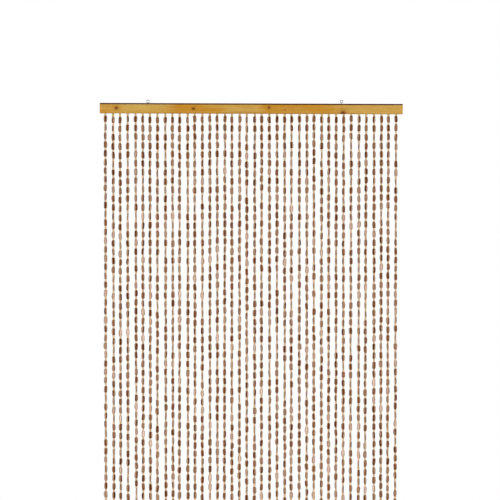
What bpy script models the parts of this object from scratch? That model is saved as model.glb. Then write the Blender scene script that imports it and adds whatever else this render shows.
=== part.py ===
"""Door curtain: forty bead strands under a pine rail that hangs from two screw eyes.

Lengths are in metres and +Z is up. The origin is midway along the rail, on the line
through the centres of both screw eyes. The front faces -Y and the wall is at +Y.
"""

import math
import random
from collections import namedtuple

import bmesh
import bpy
from mathutils import Matrix, Vector

# Gap between pieces that touch
GAP = 0.0003

# Rail and the dark strip that covers its top
RAIL_LENGTH = 0.900
RAIL_DEPTH = 0.0120
RAIL_HEIGHT = 0.0264
STRIP_HEIGHT = 0.0035
EASED_EDGE = 0.0007

# Stopped groove along the rail's top, where the threads are knotted
GROOVE_WIDTH = 0.0050
GROOVE_DEPTH = 0.0032
GROOVE_END_MARGIN = 0.0090
CUTTER_OVERSHOOT = 0.0010

# The right eye is turned in less deep, so the rail hangs a little lower there
RAIL_TILT = math.radians(0.17)

# Screw eyes, placed from the rail's left end, with both rings at the same height
RING_OUTER_DIAMETER = 0.0100
WIRE_DIAMETER = 0.0019
RING_SEGMENTS = 20
WIRE_SIDES = 8
SHANK_SIDES = 8
NECK_DIAMETER = 0.0018
NECK_LENGTH = 0.0035
SHANK_DIAMETER = 0.0022
SHANK_LENGTH = 0.0190
SHANK_TIP_LENGTH = 0.0030
SHANK_TIP_DIAMETER = 0.0006
SHANK_HOLE_DIAMETER = 0.0031
SHANK_HOLE_SIDES = 12
ScrewEye = namedtuple("ScrewEye", "name from_left_end turn_degrees")
SCREW_EYES = (
    ScrewEye("screw_eye_left", 0.143, 6.0),
    ScrewEye("screw_eye_right", 0.718, -25.0),
)

# Strands along the rail
STRAND_COUNT = 40
FIRST_STRAND_FROM_LEFT_END = 0.0164
LAST_STRAND_FROM_RIGHT_END = 0.0195
SPACING_UNEVENNESS = 0.0011
STRAND_SEED = 40
THREAD_HOLE_DIAMETER = 0.0032
THREAD_HOLE_SIDES = 8

# Beads on a strand
BEADS_ON_STRAND = 75
BEAD_PITCH = 0.02614
BEAD_LENGTH = 0.0192
BEAD_SHOULDER = 0.0050
FIRST_BEAD_BELOW_RAIL = 0.0169
FIRST_TUBE_BELOW_RAIL = 0.0004
FIRST_TUBE_UNEVENNESS = 0.0022
END_KNOT_LENGTH = 0.0075

# Four-sided girth of a strand, as half sizes
THREAD_HALF = 0.00075
TUBE_HALF = 0.0019
BAR_HALF_WIDTH = 0.0038
BAR_HALF_DEPTH = 0.0026
KNOT_HALF = 0.0014
BAR_STATIONS = 6

# Unevenness of a hanging strand, its length as a share of the even one
LEAN_AT_FOOT = 0.0018
BOW_AT_MIDDLE = 0.0008
TURN_DEGREES = 22.0
LENGTH_UNEVENNESS = 0.0045

# Backing in the groove that joins the threads' roots
BACKING_WIDTH = 0.0040
BACKING_HEIGHT = 0.0022
BACKING_END_MARGIN = 0.0022

# Heights in the tilted rail's own frame, from the top of the cover strip
RAIL_TOP = -(STRIP_HEIGHT + GAP)
RAIL_BOTTOM = RAIL_TOP - RAIL_HEIGHT
GROOVE_FLOOR = RAIL_TOP - GROOVE_DEPTH
BACKING_BOTTOM = GROOVE_FLOOR + GAP
BACKING_MIDDLE = BACKING_BOTTOM + BACKING_HEIGHT / 2

# Heights from the line through both eye holes, and lengths along a strand
RING_FOOT = -RING_OUTER_DIAMETER / 2
SHANK_TIP = RING_FOOT - SHANK_LENGTH
LEFT_EYE_ARM = RAIL_LENGTH / 2 - SCREW_EYES[0].from_left_end
RAIL_DROP = RING_FOOT - GAP - LEFT_EYE_ARM * math.tan(RAIL_TILT)
RAIL_PLACE = Vector((0.0, 0.0, RAIL_DROP))
RAIL_FRAME = Matrix.Translation(RAIL_PLACE) @ Matrix.Rotation(RAIL_TILT, 4, "Y")
LAST_BEAD_BELOW_RAIL = FIRST_BEAD_BELOW_RAIL + (BEADS_ON_STRAND - 1) * BEAD_PITCH
STRAND_LENGTH = LAST_BEAD_BELOW_RAIL + BEAD_LENGTH / 2

Section = namedtuple("Section", "below_rail half_width half_depth")
Hang = namedtuple("Hang", "lean bow turn first_bead_shift length")


def clear_scene():
    for obj in list(bpy.data.objects):
        bpy.data.objects.remove(obj, do_unlink=True)


def make_material(name, colour, roughness, metallic=0.0):
    material = bpy.data.materials.new(name)
    material.use_nodes = True
    shader = material.node_tree.nodes["Principled BSDF"]
    shader.inputs["Base Color"].default_value = (*colour, 1.0)
    shader.inputs["Roughness"].default_value = roughness
    shader.inputs["Metallic"].default_value = metallic
    material.diffuse_color = (*colour, 1.0)
    return material


def add_empty(name, parent=None):
    empty = bpy.data.objects.new(name, None)
    empty.parent = parent
    bpy.context.scene.collection.objects.link(empty)
    return empty


def add_object(name, bm, parent, location=(0.0, 0.0, 0.0), turn=0.0):
    bmesh.ops.recalc_face_normals(bm, faces=bm.faces)
    mesh = bpy.data.meshes.new(name)
    bm.to_mesh(mesh)
    bm.free()
    obj = bpy.data.objects.new(name, mesh)
    obj.parent = parent
    obj.location = location
    obj.rotation_euler.z = turn
    bpy.context.scene.collection.objects.link(obj)
    return obj


def finish_piece(obj, material):
    obj.data.materials.append(material)
    obj.data.shade_smooth()
    obj.data.set_sharp_from_angle(angle=math.radians(35.0))
    return obj


def combine(obj, other, operation):
    """The other object is only a guide for the Boolean and isn't a piece itself."""
    other.hide_render = True
    other.display_type = "WIRE"
    modifier = obj.modifiers.new(other.name, "BOOLEAN")
    modifier.solver = "EXACT"
    modifier.operation = operation
    modifier.object = other


def box_mesh(size):
    bm = bmesh.new()
    bmesh.ops.create_cube(bm, size=1.0, matrix=Matrix.Diagonal((*size, 1.0)))
    return bm


def batten_mesh(length, depth, height):
    bm = box_mesh((length, depth, height))
    bmesh.ops.bevel(
        bm, geom=bm.edges[:], offset=EASED_EDGE, segments=1, affect="EDGES"
    )
    return bm


def add_drill(bm, x, top, bottom, diameter, sides):
    middle = Matrix.Translation((x, 0.0, (top + bottom) / 2))
    bmesh.ops.create_cone(
        bm,
        cap_ends=True,
        segments=sides,
        radius1=diameter / 2,
        radius2=diameter / 2,
        depth=top - bottom,
        matrix=middle,
    )


def turned_mesh(profile, sides):
    """Solid of revolution about Z. The profile runs from its top to its tip, both on the axis."""
    bm = bmesh.new()
    points = [bm.verts.new((radius, 0.0, height)) for radius, height in profile]
    edges = [bm.edges.new(pair) for pair in zip(points, points[1:])]
    bmesh.ops.spin(
        bm,
        geom=points + edges,
        cent=(0.0, 0.0, 0.0),
        axis=(0.0, 0.0, 1.0),
        angle=2 * math.pi,
        steps=sides,
        use_merge=True,
    )
    bmesh.ops.remove_doubles(bm, verts=bm.verts, dist=1e-6)
    return bm


def eye_x(eye):
    return eye.from_left_end - RAIL_LENGTH / 2


def strand_places():
    """Where each strand's hole is along the rail, nearly evenly spaced."""
    draws = random.Random(STRAND_SEED)
    first = FIRST_STRAND_FROM_LEFT_END - RAIL_LENGTH / 2
    last = RAIL_LENGTH / 2 - LAST_STRAND_FROM_RIGHT_END
    step = (last - first) / (STRAND_COUNT - 1)
    places = []
    for index in range(STRAND_COUNT):
        shift = draws.uniform(-SPACING_UNEVENNESS, SPACING_UNEVENNESS)
        places.append(first + step * index + shift)
    return places


def strand_groups():
    """Strand numbers left of, between and right of the two screw eyes."""
    left_eye, right_eye = (eye_x(eye) for eye in SCREW_EYES)
    groups = {"strands_left": [], "strands_middle": [], "strands_right": []}
    for index, x in enumerate(strand_places()):
        if x < left_eye:
            groups["strands_left"].append(index)
        elif x < right_eye:
            groups["strands_middle"].append(index)
        else:
            groups["strands_right"].append(index)
    return groups


def hang_of(index):
    """How one strand leans, bows and turns, and how far its beads reach."""
    draws = random.Random(STRAND_SEED * 1000 + index)
    lean = Vector((draws.uniform(-1, 1), draws.uniform(-0.5, 0.5))) * LEAN_AT_FOOT
    bow = Vector((draws.uniform(-1, 1), draws.uniform(-0.5, 0.5))) * BOW_AT_MIDDLE
    turn = math.radians(draws.uniform(-TURN_DEGREES, TURN_DEGREES))
    shift = draws.uniform(-1, 1) * FIRST_TUBE_UNEVENNESS
    length = STRAND_LENGTH * (1 + draws.uniform(-1, 1) * LENGTH_UNEVENNESS)
    return Hang(lean, bow, turn, shift, length)


def drift(hang, below_rail):
    """Sideways offset of a strand at a depth below the rail. It is nothing inside the rail."""
    share = max(below_rail, 0.0) / hang.length
    return hang.lean * share + hang.bow * math.sin(math.pi * share)


def strand_sections(hang):
    """Girth of a strand from its root in the backing down to its end knot."""
    bead_top = FIRST_BEAD_BELOW_RAIL - BEAD_LENGTH / 2 + hang.first_bead_shift
    bar_top = bead_top + BEAD_SHOULDER
    bar_foot = hang.length - BEAD_SHOULDER
    sections = [
        Section(RAIL_BOTTOM - BACKING_MIDDLE, THREAD_HALF, THREAD_HALF),
        Section(FIRST_TUBE_BELOW_RAIL, THREAD_HALF, THREAD_HALF),
        Section(FIRST_TUBE_BELOW_RAIL, TUBE_HALF, TUBE_HALF),
        Section(bead_top, TUBE_HALF, TUBE_HALF),
    ]
    for station in range(BAR_STATIONS):
        depth = bar_top + (bar_foot - bar_top) * station / (BAR_STATIONS - 1)
        sections.append(Section(depth, BAR_HALF_WIDTH, BAR_HALF_DEPTH))
    sections.append(Section(hang.length, TUBE_HALF, TUBE_HALF))
    sections.append(Section(hang.length + END_KNOT_LENGTH, KNOT_HALF, KNOT_HALF))
    return sections


def add_strand(bm, rail_x, index):
    """The strand hangs plumb from its hole, whatever the rail's tilt."""
    hang = hang_of(index)
    spin = Matrix.Rotation(hang.turn, 2)
    x = (RAIL_FRAME @ Vector((rail_x, 0.0, (RAIL_TOP + RAIL_BOTTOM) / 2))).x
    rail_foot = (RAIL_FRAME @ Vector((rail_x, 0.0, RAIL_BOTTOM))).z
    rings = []
    for section in strand_sections(hang):
        shift = drift(hang, section.below_rail)
        height = rail_foot - section.below_rail
        ring = []
        for side_x, side_y in ((-1, -1), (1, -1), (1, 1), (-1, 1)):
            corner = Vector((side_x * section.half_width, side_y * section.half_depth))
            corner = spin @ corner + shift
            ring.append(bm.verts.new((x + corner.x, corner.y, height)))
        rings.append(ring)
    for upper, lower in zip(rings, rings[1:]):
        for side in range(4):
            following = (side + 1) % 4
            bm.faces.new((upper[side], upper[following], lower[following], lower[side]))
    bm.faces.new(rings[0])
    bm.faces.new(reversed(rings[-1]))


def build_rail(material, frame):
    bm = batten_mesh(RAIL_LENGTH, RAIL_DEPTH, RAIL_HEIGHT)
    rail = add_object("rail", bm, frame, (0.0, 0.0, (RAIL_TOP + RAIL_BOTTOM) / 2))
    combine(rail, groove_guide(frame), "DIFFERENCE")
    combine(rail, rail_hole_guide(frame), "DIFFERENCE")
    return finish_piece(rail, material)


def groove_guide(frame):
    length = RAIL_LENGTH - 2 * GROOVE_END_MARGIN
    height = GROOVE_DEPTH + CUTTER_OVERSHOOT
    bm = box_mesh((length, GROOVE_WIDTH, height))
    return add_object("groove_guide", bm, frame, (0.0, 0.0, GROOVE_FLOOR + height / 2))


def rail_hole_guide(frame):
    bm = bmesh.new()
    for x in strand_places():
        top = GROOVE_FLOOR + CUTTER_OVERSHOOT
        foot = RAIL_BOTTOM - CUTTER_OVERSHOOT
        add_drill(bm, x, top, foot, THREAD_HOLE_DIAMETER, THREAD_HOLE_SIDES)
    for eye in SCREW_EYES:
        top = RAIL_TOP + CUTTER_OVERSHOOT
        foot = -SHANK_LENGTH - CUTTER_OVERSHOOT
        add_drill(bm, eye_x(eye), top, foot, SHANK_HOLE_DIAMETER, SHANK_HOLE_SIDES)
    return add_object("rail_hole_guide", bm, frame)


def build_cover_strip(material, frame):
    bm = batten_mesh(RAIL_LENGTH, RAIL_DEPTH, STRIP_HEIGHT)
    strip = add_object("cover_strip", bm, frame, (0.0, 0.0, -STRIP_HEIGHT / 2))
    drills = bmesh.new()
    for eye in SCREW_EYES:
        top = CUTTER_OVERSHOOT
        foot = -STRIP_HEIGHT - CUTTER_OVERSHOOT
        add_drill(drills, eye_x(eye), top, foot, SHANK_HOLE_DIAMETER, SHANK_HOLE_SIDES)
    combine(strip, add_object("strip_hole_guide", drills, frame), "DIFFERENCE")
    return finish_piece(strip, material)


def shank_guide(name, location, turn):
    """Neck and threaded shank, which run up into the ring's wire."""
    neck_foot = RING_FOOT - NECK_LENGTH
    profile = (
        (0.0, RING_FOOT + WIRE_DIAMETER / 2),
        (NECK_DIAMETER / 2, RING_FOOT + WIRE_DIAMETER / 2),
        (NECK_DIAMETER / 2, neck_foot + GAP),
        (SHANK_DIAMETER / 2, neck_foot),
        (SHANK_DIAMETER / 2, SHANK_TIP + SHANK_TIP_LENGTH),
        (SHANK_TIP_DIAMETER / 2, SHANK_TIP),
        (0.0, SHANK_TIP),
    )
    bm = turned_mesh(profile, SHANK_SIDES)
    return add_object(name + "_shank_guide", bm, None, location, turn)


def build_screw_eye(eye, material):
    location = (eye_x(eye), 0.0, 0.0)
    turn = math.radians(eye.turn_degrees)
    bpy.ops.mesh.primitive_torus_add(
        major_segments=RING_SEGMENTS,
        minor_segments=WIRE_SIDES,
        major_radius=(RING_OUTER_DIAMETER - WIRE_DIAMETER) / 2,
        minor_radius=WIRE_DIAMETER / 2,
        location=location,
        rotation=(math.pi / 2, 0.0, turn),
    )
    ring = bpy.context.object
    ring.name = eye.name
    combine(ring, shank_guide(eye.name, location, turn), "UNION")
    return finish_piece(ring, material)


def backing_guide(name, places, frame):
    """Narrow strip in the groove that the threads of one group are fused into."""
    length = places[-1] - places[0] + 2 * BACKING_END_MARGIN
    bm = box_mesh((length, BACKING_WIDTH, BACKING_HEIGHT))
    middle_x = (places[0] + places[-1]) / 2
    return add_object(name + "_backing_guide", bm, frame, (middle_x, 0.0, BACKING_MIDDLE))


def build_strands(name, indices, material, frame):
    places = strand_places()
    bm = bmesh.new()
    for index in indices:
        add_strand(bm, places[index], index)
    strands = add_object(name, bm, None)
    backing = backing_guide(name, [places[index] for index in indices], frame)
    combine(strands, backing, "UNION")
    return finish_piece(strands, material)


def main():
    clear_scene()
    curtain = add_empty("curtain")
    frame = add_empty("rail_frame", curtain)
    frame.location = RAIL_PLACE
    frame.rotation_euler.y = RAIL_TILT
    pine = make_material("lacquered pine", (0.56, 0.31, 0.085), 0.42)
    dark = make_material("dark stained strip", (0.10, 0.047, 0.020), 0.50)
    steel = make_material("plated steel wire", (0.48, 0.49, 0.48), 0.32, 0.9)
    bead = make_material("brown glossed bamboo", (0.22, 0.078, 0.034), 0.30)
    build_rail(pine, frame)
    build_cover_strip(dark, frame)
    for eye in SCREW_EYES:
        build_screw_eye(eye, steel).parent = curtain
    for name, indices in strand_groups().items():
        build_strands(name, indices, bead, frame).parent = curtain


main()
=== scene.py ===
import math
from collections import namedtuple
from itertools import chain

import bmesh
import bpy
import numpy as np
from bpy.props import FloatProperty, FloatVectorProperty, IntProperty, PointerProperty
from bpy.types import Operator, Panel, PropertyGroup
from mathutils import Matrix, Vector


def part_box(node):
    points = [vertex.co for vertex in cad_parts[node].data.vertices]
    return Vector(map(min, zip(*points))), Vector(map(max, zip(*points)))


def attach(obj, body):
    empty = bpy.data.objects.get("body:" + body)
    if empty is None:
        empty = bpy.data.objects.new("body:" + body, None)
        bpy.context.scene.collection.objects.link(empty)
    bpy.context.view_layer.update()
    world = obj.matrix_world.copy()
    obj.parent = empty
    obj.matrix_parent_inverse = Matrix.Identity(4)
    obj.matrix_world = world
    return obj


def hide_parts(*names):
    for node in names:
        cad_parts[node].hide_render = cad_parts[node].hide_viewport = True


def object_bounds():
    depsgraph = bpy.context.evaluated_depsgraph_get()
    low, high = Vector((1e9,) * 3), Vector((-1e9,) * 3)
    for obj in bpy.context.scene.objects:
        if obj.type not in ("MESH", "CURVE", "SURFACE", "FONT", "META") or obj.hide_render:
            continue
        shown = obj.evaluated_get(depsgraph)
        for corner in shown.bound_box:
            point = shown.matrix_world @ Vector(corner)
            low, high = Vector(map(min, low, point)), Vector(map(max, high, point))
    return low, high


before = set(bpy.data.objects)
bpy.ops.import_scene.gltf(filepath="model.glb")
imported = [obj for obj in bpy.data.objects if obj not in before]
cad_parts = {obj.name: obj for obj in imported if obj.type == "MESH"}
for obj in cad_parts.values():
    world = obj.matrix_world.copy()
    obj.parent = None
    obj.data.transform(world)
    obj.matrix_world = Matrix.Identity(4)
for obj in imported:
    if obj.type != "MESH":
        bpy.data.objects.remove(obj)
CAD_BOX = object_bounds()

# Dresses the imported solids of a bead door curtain: rail, cover strip, screw eyes, beads,
# tube beads and threads. Lengths are in metres, +Z is up and the front faces -Y.

bl_info = {
    "name": "Bead door curtain",
    "version": (1, 0, 0),
    "blender": (4, 5, 0),
    "location": "View3D > Sidebar > Door curtain",
    "description": "Builds a bamboo bead door curtain on its rail, piece by piece",
    "category": "Object",
}

# Strands: their solids, the beads on each, and the gaps that tell strands and levels apart
STRAND_NODES = ("strands_left", "strands_middle", "strands_right")
STRANDS_IN_PIECE = 9
BEADS_ON_STRAND = 75
STRAND_PARTING = 0.008
LEVEL_PARTING = 0.0003
LEVELS_ON_STRAND = 10

# Batten features that repeat those of the solids, how far a cutter goes past them, and the most
# that the strip's edges are rounded, as a share of its height
GROOVE_WIDTH = 0.0050
GROOVE_DEPTH = 0.0032
GROOVE_END_MARGIN = 0.0090
EYE_HOLE_DEPTH = 0.0160
BATTEN_END = 0.0030
CUTTER_OVERSHOOT = 0.0010
STRIP_ROUND_LIMIT = 0.24

# Rings of a bead from one mouth of its bore to the other, as shares of length and girth
HALF_BEAD = ((0.500, 0.44), (0.468, 0.72), (0.385, 0.91), (0.220, 0.99))
BEAD_RINGS = (*HALF_BEAD, (0.0, 1.0), *((-height, girth) for height, girth in reversed(HALF_BEAD)))
TUBE_RINGS = ((0.500, 0.84), (0.462, 1.00), (-0.462, 1.00), (-0.500, 0.84))
BORE_MOUTH = 0.47
BEAD_SIDES = 10
TUBE_SIDES = 7

# A bead's section: the power of its oval, where 1 is an ellipse, and its swell at back and front
OVAL_POWER = 0.84
BACK_SWELL = 0.86
FRONT_SWELL = 1.10

# What the random draws of a strand are for
ITEM_DRAWS, BEAD_DRAWS, TUBE_DRAWS, TAIL_DRAWS = 1, 2, 3, 4

# How far each trait of a bead strays, as a share of the beads' unevenness
BEAD_LENGTH_STRAY = 0.7
TUBE_LENGTH_STRAY = 2.4
TUBE_SHAPE_STRAY = 0.7
THICKNESS_STRAY = 1.6
TAPER_STRAY = 1.4
BULGE_STRAY = 0.35
LEAN_STRAY = 0.6

# The rail's hold on the first beads and the painted shade under the rail: how many beads they fade
# over, the share of turn the first beads keep, and the share of tone the painted shade leaves them
BEADS_HELD = 4.5
HELD_TURN = 0.50
RAIL_SHADE_TONE = 0.80

# Tones: shapes of the beads' and tube beads' draws, limit of the raw tubes, range at the rail
BEAD_TONES = (0.84, 0.90)
TUBE_TONES = (1.5, 2.5)
RAW_TONE_LIMIT = 0.72
RAIL_TUBE_TONES = (0.76, 1.0)

# Bake layout: height of a cell to its width, its margin, the share of a roll that is bore, and
# the girth at the bore's mouth and the weight of girths in the roll
CELL_PROPORTION = 1.35
CELL_MARGIN = 0.05
BORE_RUN = 0.10
MOUTH_GIRTH = 0.12
GIRTH_WEIGHT = 0.22

# Screw eyes: neck under the ring, degrees where the ring starts and ends, and pull of the bend
EYE_NODES = ("screw_eye_left", "screw_eye_right")
EYE_NECK = 0.0026
RING_DEGREES = (-62, 247)
BEND_PULL = 0.42
WIRE_SIDES = 12

# Screw thread: height and sharpness of its ridge, length and blunt tip of its point, its top,
# and the stretch above that in which it fades out
RIDGE_HEIGHT = 0.00026
RIDGE_SHARPNESS = 3.2
POINT_LENGTH = 0.0032
POINT_TIP = 0.22
THREAD_TOP = -0.0095
THREAD_FADE = 0.0020

# Rounded end of the wire: how far past the ring, in wire widths, and how thick it is there
WIRE_TIP = ((0.25, 0.97), (0.45, 0.86), (0.60, 0.62), (0.66, 0.28))

# Thread: size and sink of the knot in the groove, drop of the end knot, drift of the tail, swell
# of the plies, and where it runs straight: below the top knot, below the rail, by the end knot
TOP_KNOT_SHARE = 0.80
TOP_KNOT_SINK = 0.55
END_KNOT_DROP = 0.0030
TAIL_DRIFT = 0.0006
PLY_SWELL = 0.10
BELOW_TOP_KNOT = 0.0030
BELOW_RAIL = 0.0200
ABOVE_END_KNOT = 0.0040
BELOW_END_KNOT = 0.0005
THREAD_SIDES = 6

# Knot: reach of its curve, the stretch in which its ends straighten, and how much of the knot's
# width one unit of the curve makes across, through and down
KNOT_REACH = 2.3
KNOT_EASE = 0.6
KNOT_UNITS = (0.150, 0.0315, -0.186)

# Surface of each material: width, length and contrast of its fibres, size of its gloss patches,
# its smoothest and dullest roughness, and the depth of its relief
Finish = namedtuple("Finish", "width length contrast patch smoothest dullest relief")
PINE = Finish(0.0005, 0.022, 0.55, 0.05, 0.34, 0.50, 0.00006)
STAINED = Finish(0.0004, 0.018, 0.85, 0.03, 0.42, 0.62, 0.00007)
STEEL = Finish(0.00025, 0.0016, 0.35, 0.003, 0.24, 0.46, 0.00002)
POLISHED = Finish(0.00042, 0.011, 0.75, 0.007, 0.26, 0.42, 0.00005)
RAW = Finish(0.00034, 0.008, 0.65, 0.005, 0.40, 0.60, 0.00005)
TWISTED = Finish(0.00018, 0.0007, 0.8, 0.004, 0.70, 0.90, 0.00008)

# Pine: the tree's pith below and behind the rail's middle, and how its rings wander and swerve
PITH_BELOW = 0.031
PITH_BEHIND = 0.020
RING_WANDER = 0.030
KNOT_SWERVE = 0.0075

# Knots and dark marks of the rail, in metres from its left end and below the strip's top. The last
# streak is painted shade: a dark band the whole rail long at its bottom edge
Mark = namedtuple("Mark", "along below half_length half_height depth")
KNOTS = (
    Mark(0.0495, 0.0152, 0.0050, 0.0044, 0.95),
    Mark(0.2783, 0.0157, 0.0050, 0.0040, 0.92),
    Mark(0.5025, 0.0124, 0.0042, 0.0050, 0.80),
    Mark(0.7225, 0.0290, 0.0084, 0.0082, 0.95),
)
STREAKS_AND_EDGE_SHADE = (
    Mark(0.5470, 0.0182, 0.0105, 0.0017, 0.80),
    Mark(0.5500, 0.0198, 0.0046, 0.0018, 0.80),
    Mark(0.5800, 0.0195, 0.0200, 0.0022, 0.15),
    Mark(0.4300, 0.0265, 0.0600, 0.0036, 0.45),
    Mark(0.2050, 0.0120, 0.0450, 0.0016, 0.35),
    Mark(0.1650, 0.0165, 0.0300, 0.0012, 0.30),
    Mark(0.0400, 0.0120, 0.0260, 0.0030, 0.25),
    # Painted shade along the rail's bottom edge, where less light falls, not a mark of the wood
    Mark(0.4500, 0.0296, 0.7000, 0.0024, 0.38),
)

# How amber the rail is along its length, as share of length and strength
AMBER_ZONES = (
    (0.00, 0.55), (0.05, 0.40), (0.10, 0.10), (0.21, 0.30), (0.27, 1.00), (0.31, 0.80),
    (0.39, 0.74), (0.43, 0.26), (0.51, 0.18), (0.56, 0.92), (0.73, 0.96), (0.80, 0.38),
    (0.88, 0.10), (1.00, 0.14),
)

# Softboxes in front: distance and height, and the point that every softbox lights
SOFTBOX_DISTANCE = 3.7
SOFTBOX_HEIGHT = -0.45
LIT_MIDDLE = (0.0, 0.0, -0.70)

Strand = namedtuple("Strand", "number heights xs ys")
Batten = namedtuple("Batten", "place length depth height")
Item = namedtuple("Item", "strand middle length")


def size_of(name, text, default, low, high):
    return FloatProperty(
        name=name, description=text, default=default, min=low, max=high, precision=5, unit="LENGTH"
    )


def share_of(name, text, default):
    return FloatProperty(
        name=name, description=text, default=default, min=0.0, max=1.0, subtype="FACTOR"
    )


def angle_of(name, text, degrees):
    return FloatProperty(
        name=name, description=text, default=math.radians(degrees), subtype="ANGLE"
    )


def colour_of(name, text, default):
    return FloatVectorProperty(
        name=name, description=text, default=default, min=0.0, max=1.0, subtype="COLOR"
    )


def light_of(name, text, default):
    return FloatProperty(name=name, description=text, default=default, min=0.0)


class RailLook(PropertyGroup):
    edge_round: size_of("Edge rounding", "Radius of the rail's edges", 0.0009, 0.0002, 0.003)
    thread_hole: size_of("Thread hole", "Diameter of each thread's hole", 0.0032, 0.001, 0.005)
    eye_hole: size_of("Eye hole", "Diameter of each screw eye's hole", 0.0030, 0.001, 0.005)
    ring_width: size_of("Growth ring", "Width of one growth ring", 0.0034, 0.001, 0.02)
    pale_wood: colour_of("Pale wood", "Pale stretches of the rail", (0.535, 0.346, 0.088))
    amber_wood: colour_of("Amber wood", "Amber stretches of the rail", (0.472, 0.224, 0.020))
    late_wood: colour_of("Late wood", "Dark line of each growth ring", (0.38, 0.165, 0.022))
    knot_heart: colour_of("Knot heart", "Middle of each knot", (0.130, 0.030, 0.002))
    knot_rim: colour_of("Knot rim", "Wood round each knot", (0.310, 0.120, 0.010))
    strip_dark: colour_of("Dark strip", "Stain of the cover strip", (0.062, 0.022, 0.008))
    strip_brown: colour_of("Brown strip", "Stain where it is thin", (0.088, 0.023, 0.007))


class EyeLook(PropertyGroup):
    wire: size_of("Wire", "Diameter of the bent wire", 0.0019, 0.001, 0.004)
    ring: size_of("Ring", "Diameter over the ring", 0.0100, 0.005, 0.02)
    shank: size_of("Shank", "Diameter over the shank's thread", 0.0023, 0.001, 0.004)
    shank_tip: size_of("Shank tip", "Depth of the tip below the ring's middle", 0.0240, 0.01, 0.05)
    thread_pitch: size_of("Thread pitch", "Rise of one turn of the thread", 0.0012, 0.0005, 0.003)
    left_turn: angle_of("Left eye's turn", "How far the left eye is turned in", 6.0)
    right_turn: angle_of("Right eye's turn", "How far the right eye is turned in", -25.0)
    # Painted shade: how dark each ring's top is made
    left_top_shade: share_of("Left eye's top shade", "How dark the painted shade on the left ring's top is", 0.80)
    right_top_shade: share_of("Right eye's top shade", "How dark the painted shade on the right ring's top is", 1.0)
    steel: colour_of("Plated steel", "Bright wire", (0.26, 0.265, 0.26))
    tarnish: colour_of("Tarnish", "Dull patches on the wire", (0.12, 0.108, 0.090))
    # Colour of the painted shade on the ring's top
    edge_and_top_colour: colour_of("Top shade", "Painted shade on the ring's top", (0.018, 0.015, 0.013))


class BeadLook(PropertyGroup):
    length: size_of("Length", "Length of an oval bead", 0.0190, 0.005, 0.05)
    width: size_of("Width", "Width across an oval bead's flat side", 0.0104, 0.003, 0.03)
    thickness: size_of("Thickness", "Thickness of an oval bead", 0.0060, 0.002, 0.03)
    bore: size_of("Bore", "Diameter of the hole along a bead", 0.0017, 0.001, 0.004)
    lopsided: size_of("Lopsided", "How far a bead's belly is off its bore", 0.0006, 0.0, 0.003)
    unevenness: share_of("Unevenness", "Spread of the beads' sizes", 0.05)
    levelled: angle_of("Levelled", "Slope of the first row of beads against the rail's", 0.26)
    edge_on: share_of("Edge on", "Share of beads that have turned at random", 0.46)
    sway: angle_of("Sway", "Usual turn of a bead out of the curtain's plane", 30.0)
    seed: IntProperty(name="Seed", description="Another number hangs the beads anew", default=7)
    dark: colour_of("Dark brown", "Darkest beads", (0.106, 0.0235, 0.0020))
    red: colour_of("Reddish brown", "Most beads", (0.190, 0.0560, 0.0120))
    rosy: colour_of("Rosy brown", "Lighter beads", (0.350, 0.205, 0.1300))
    edge: colour_of("Edge", "Raw narrow sides of a bead", (0.455, 0.300, 0.185))
    # Painted reflection: the palest beads stand in for the softboxes' glare on turned faces
    pale: colour_of("Pale brown", "Palest beads, a painted reflection of the softboxes", (0.860, 0.660, 0.540))


class TubeLook(PropertyGroup):
    diameter: size_of("Diameter", "Diameter of a tube bead", 0.0064, 0.002, 0.01)
    bore: size_of("Bore", "Diameter of the hole along a tube bead", 0.0018, 0.001, 0.004)
    cream: colour_of("Cream", "Raw bamboo", (0.74, 0.55, 0.36))
    straw: colour_of("Straw", "Darker raw bamboo", (0.54, 0.345, 0.18))
    olive: colour_of("Olive", "Tube beads under the rail", (0.570, 0.430, 0.180))


class ThreadLook(PropertyGroup):
    diameter: size_of("Diameter", "Diameter of the twisted thread", 0.0010, 0.0005, 0.002)
    knot: size_of("Knot", "Width of an end knot", 0.0026, 0.001, 0.005)
    tan: colour_of("Tan", "Twisted thread", (0.50, 0.36, 0.20))
    brown: colour_of("Brown", "Between the thread's plies", (0.24, 0.15, 0.07))


class StageLook(PropertyGroup):
    floor_drop: size_of("Floor drop", "Gap between the strands and the floor", 0.018, 0.0, 0.5)
    floor_radius: size_of("Floor radius", "From the floor's middle to its rim", 3.6, 0.5, 20.0)
    camera_distance: size_of("Camera distance", "From lens to curtain", 4.0, 1.0, 20.0)
    frame_width: size_of("Frame width", "Width seen at the curtain", 1.4893, 0.1, 9.0)
    aim_x: size_of("Aim across", "Middle of the frame, across", -0.0036, -1.0, 1.0)
    aim_z: size_of("Aim up", "Middle of the frame, up", -0.4416, -2.0, 1.0)
    pitch: angle_of("Pitch", "How far the camera looks down", 1.1)
    roll: angle_of("Roll", "How far the camera leans to the left", 0.03)
    softbox_angle: angle_of("Softbox angle", "Softboxes' angle from the camera", 45.0)
    softbox_light: light_of("Softbox light", "Brightness of the front softboxes", 11.5)
    room_light: light_of("Room light", "Brightness of the white room", 0.16)
    floor: colour_of("Floor", "Pale floor", (0.90, 0.89, 0.87))


class CurtainLook(PropertyGroup):
    rail: PointerProperty(type=RailLook, name="Rail", description="Rail and cover strip")
    eye: PointerProperty(type=EyeLook, name="Screw eyes", description="Both screw eyes")
    bead: PointerProperty(type=BeadLook, name="Beads", description="Oval beads")
    tube: PointerProperty(type=TubeLook, name="Tube beads", description="Short tube beads")
    thread: PointerProperty(type=ThreadLook, name="Threads", description="Threads and knots")
    stage: PointerProperty(type=StageLook, name="Stage", description="Floor, lights, camera")


# Reading the solids


def node_points(node):
    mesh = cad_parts[node].data
    points = np.empty(len(mesh.vertices) * 3, dtype=np.float32)
    mesh.vertices.foreach_get("co", points)
    return points.reshape(-1, 3).astype(float)


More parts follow.
